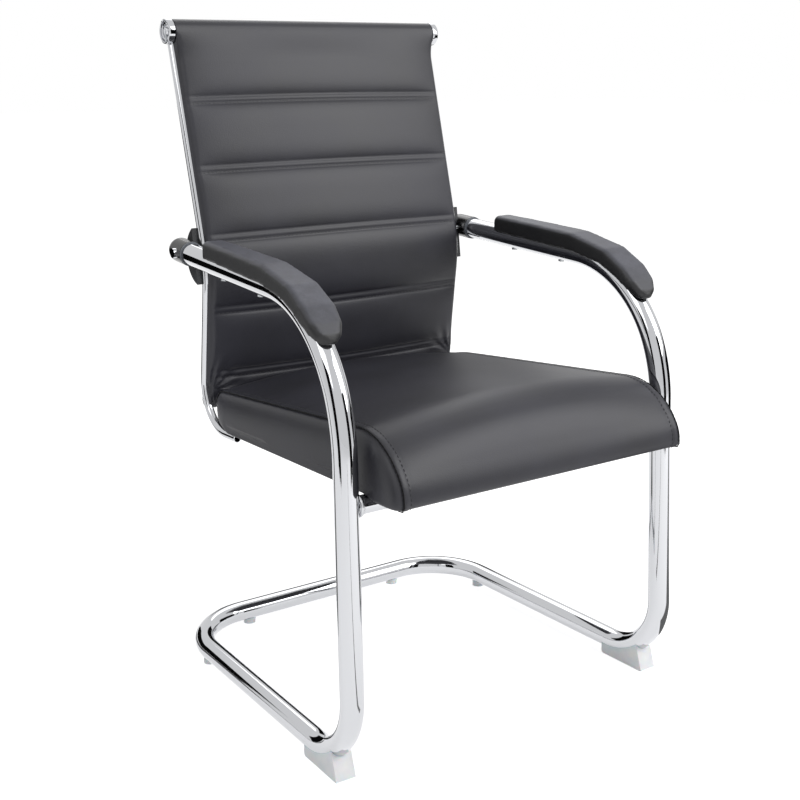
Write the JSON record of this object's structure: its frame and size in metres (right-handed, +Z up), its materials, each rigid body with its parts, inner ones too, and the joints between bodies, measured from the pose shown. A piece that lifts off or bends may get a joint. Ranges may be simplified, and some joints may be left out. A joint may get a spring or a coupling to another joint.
{
  "type": "visitor chair",
  "caption": "Cantilever visitor chair: one bent chrome tube makes skids, legs and arms, with arm pads, a thick upholstered seat and a curved back panel with sewn channels.",
  "frame": {"origin": "on the floor, in the middle of the chair's overall width and depth", "axes": "+Z is up, the chair faces -Y, and +X is towards the sitter's left hand"},
  "size_m": [0.5912, 0.6207, 0.9729],
  "materials": {
    "chrome_tube": "mirror bright",
    "chrome_trim": "turned and bright",
    "plated_steel": "zinc plated",
    "plywood": "unfinished",
    "foam": "open cell foam",
    "leather": "satin, fine grain",
    "lining": "matt non-woven",
    "pad_skin": "self-skinned foam, fine texture",
    "sleeve_black": "glossy",
    "ring_grey": "satin",
    "saddle_grey": "satin",
    "foot_white": "translucent"
  },
  "bodies": {
    "root": {"sled_frame_tube": "chrome_tube", "front_cross_tube": "chrome_tube", "back_rail_right": "chrome_tube", "back_rail_left": "chrome_tube", "end_cap_right": "chrome_trim", "end_cap_left": "chrome_trim", "arm_bolt_caps": "chrome_trim", "top_cross_tube": "plated_steel", "low_cross_tube": "plated_steel", "front_seat_tabs": "plated_steel", "rear_seat_tabs": "plated_steel", "back_tabs": "plated_steel", "seat_bolts": "plated_steel", "seat_washers": "plated_steel", "seat_tee_nuts": "plated_steel", "back_screws": "plated_steel", "end_cap_set_screws": "plated_steel", "arm_pad_strips": "plated_steel", "arm_pad_screws": "plated_steel", "arm_bolts": "plated_steel", "arm_bolt_nuts": "plated_steel", "arm_bolt_spacers": "plated_steel", "seat_board": "plywood", "back_board": "plywood", "seat_foam": "foam", "back_foam": "foam", "top_roll_foam": "foam", "low_roll_foam": "foam", "seat_top_cover": "leather", "seat_boxing": "leather", "back_front_cover": "leather", "back_rear_cover": "leather", "top_roll_cover": "leather", "low_roll_cover": "leather", "seat_dust_cover": "lining", "arm_pad_right": "pad_skin", "arm_pad_left": "pad_skin", "arm_sleeve_right": "sleeve_black", "arm_sleeve_left": "sleeve_black", "sleeve_mouth_ring_right": "ring_grey", "sleeve_mouth_ring_left": "ring_grey", "rail_saddle_right": "saddle_grey", "rail_saddle_left": "saddle_grey", "wedge_foot_right": "foot_white", "wedge_foot_left": "foot_white", "button_glides": "foot_white"}
  },
  "joints": []
}
